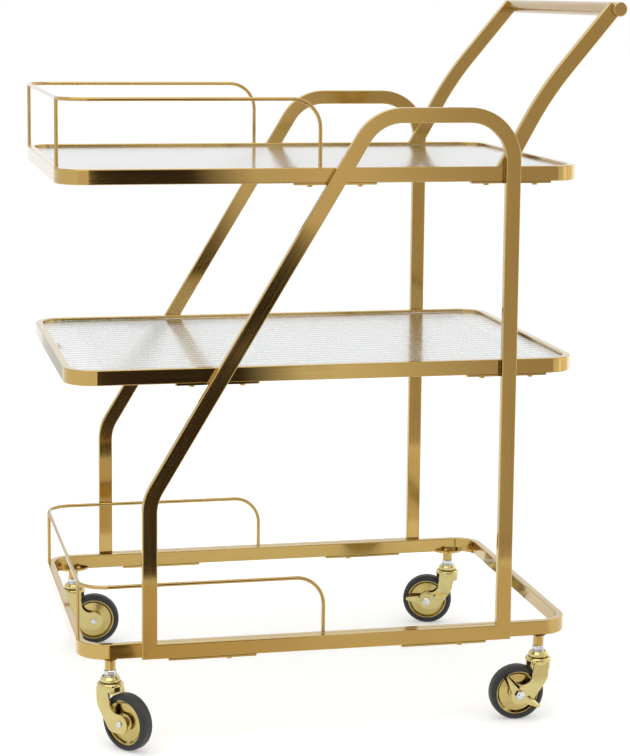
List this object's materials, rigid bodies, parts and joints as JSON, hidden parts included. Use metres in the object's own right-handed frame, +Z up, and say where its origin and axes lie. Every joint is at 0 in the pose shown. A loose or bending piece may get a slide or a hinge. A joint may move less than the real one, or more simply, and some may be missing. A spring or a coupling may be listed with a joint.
{
  "type": "bar cart",
  "caption": "Two-shelf bar cart of bent metal tube with glass shelves, rod galleries, slanted side hoops, a raised push handle and swivel casters, some with brake levers.",
  "frame": {"origin": "on the floor under the middle of the top tray, midway between the side hoops", "axes": "+X along the cart to the end with the push handle, +Z up, +Y across the cart to its back"},
  "size_m": [0.7477, 0.5345, 0.9688],
  "materials": {
    "gold_frame": "champagne gold plated tube, satin",
    "gold_caster": "bright yellow gold plated stamping",
    "zinc": "bright zinc",
    "tyre": "matte dark grey rubber",
    "shelf_glass": "clear glass with a fluted underside"
  },
  "bodies": {
    "cart_frame": {"hoop_tube_front": "gold_frame", "hoop_tube_back": "gold_frame", "bottom_rail_front": "gold_frame", "bottom_rail_back": "gold_frame", "top_tray_frame": "gold_frame", "middle_tray_frame": "gold_frame", "bottom_frame": "gold_frame", "top_glass": "shelf_glass", "middle_glass": "shelf_glass", "top_glass_ledges": "gold_frame", "middle_glass_ledges": "gold_frame", "top_gallery_rail": "gold_frame", "top_gallery_posts": "gold_frame", "bottom_gallery_rail": "gold_frame", "bottom_gallery_posts": "gold_frame", "handle_arm_front": "gold_frame", "handle_arm_back": "gold_frame", "handle_grip": "gold_frame", "bracket_plates_top": "gold_frame", "bracket_plates_middle": "gold_frame", "bracket_plates_bottom": "gold_frame", "bracket_screws_top": "gold_frame", "bracket_screws_middle": "gold_frame", "bracket_screws_bottom": "gold_frame", "caster_gussets": "gold_frame", "gusset_rivets": "gold_frame", "caster_sleeves": "gold_frame", "caster_stems": "zinc", "caster_nuts": "zinc", "caster_washers": "zinc", "caster_races": "gold_caster"},
    "swivel_front_left": {"fork_front_left": "gold_caster", "axle_bolt_front_left": "zinc", "axle_sleeve_front_left": "zinc"},
    "wheel_front_left": {"wheel_disc_front_left": "gold_caster", "tyre_front_left": "tyre"},
    "swivel_front_right": {"fork_front_right": "gold_caster", "axle_bolt_front_right": "zinc", "axle_sleeve_front_right": "zinc"},
    "wheel_front_right": {"wheel_disc_front_right": "gold_caster", "tyre_front_right": "tyre"},
    "brake_front_right": {"brake_lever_front_right": "gold_caster"},
    "swivel_back_right": {"fork_back_right": "gold_caster", "axle_bolt_back_right": "zinc", "axle_sleeve_back_right": "zinc"},
    "wheel_back_right": {"wheel_disc_back_right": "gold_caster", "tyre_back_right": "tyre"},
    "brake_back_right": {"brake_lever_back_right": "gold_caster"},
    "swivel_back_left": {"fork_back_left": "gold_caster", "axle_bolt_back_left": "zinc", "axle_sleeve_back_left": "zinc"},
    "wheel_back_left": {"wheel_disc_back_left": "gold_caster", "tyre_back_left": "tyre"}
  },
  "joints": [
    {"name": "swivel_front_left", "type": "hinge", "parent": "cart_frame", "child": "swivel_front_left", "pos_m": [-0.2815, -0.2245, 0.0775], "axis": [0, 0, 1], "continuous": true},
    {"name": "roll_front_left", "type": "hinge", "parent": "swivel_front_left", "child": "wheel_front_left", "pos_m": [-0.26189, -0.24786, 0.0375], "axis": [0.766, 0.6428, 0], "continuous": true},
    {"name": "swivel_front_right", "type": "hinge", "parent": "cart_frame", "child": "swivel_front_right", "pos_m": [0.303, -0.2245, 0.0775], "axis": [0, 0, 1], "continuous": true},
    {"name": "roll_front_right", "type": "hinge", "parent": "swivel_front_right", "child": "wheel_front_right", "pos_m": [0.2725, -0.2245, 0.0375], "axis": [0, -1, 0], "continuous": true},
    {"name": "brake_front_right", "type": "hinge", "parent": "swivel_front_right", "child": "brake_front_right", "pos_m": [0.2725, -0.2245, 0.0375], "axis": [0, 1, 0], "range_deg": [-52, 0]},
    {"name": "swivel_back_right", "type": "hinge", "parent": "cart_frame", "child": "swivel_back_right", "pos_m": [0.303, 0.2245, 0.0775], "axis": [0, 0, 1], "continuous": true},
    {"name": "roll_back_right", "type": "hinge", "parent": "swivel_back_right", "child": "wheel_back_right", "pos_m": [0.27416, 0.23443, 0.0375], "axis": [-0.3256, -0.9455, 0], "continuous": true},
    {"name": "brake_back_right", "type": "hinge", "parent": "swivel_back_right", "child": "brake_back_right", "pos_m": [0.27416, 0.23443, 0.0375], "axis": [0.3256, 0.9455, 0], "range_deg": [0, 52]},
    {"name": "swivel_back_left", "type": "hinge", "parent": "cart_frame", "child": "swivel_back_left", "pos_m": [-0.2815, 0.2245, 0.0775], "axis": [0, 0, 1], "continuous": true},
    {"name": "roll_back_left", "type": "hinge", "parent": "swivel_back_left", "child": "wheel_back_left", "pos_m": [-0.25123, 0.22078, 0.0375], "axis": [0.1219, 0.9925, 0], "continuous": true}
  ]
}
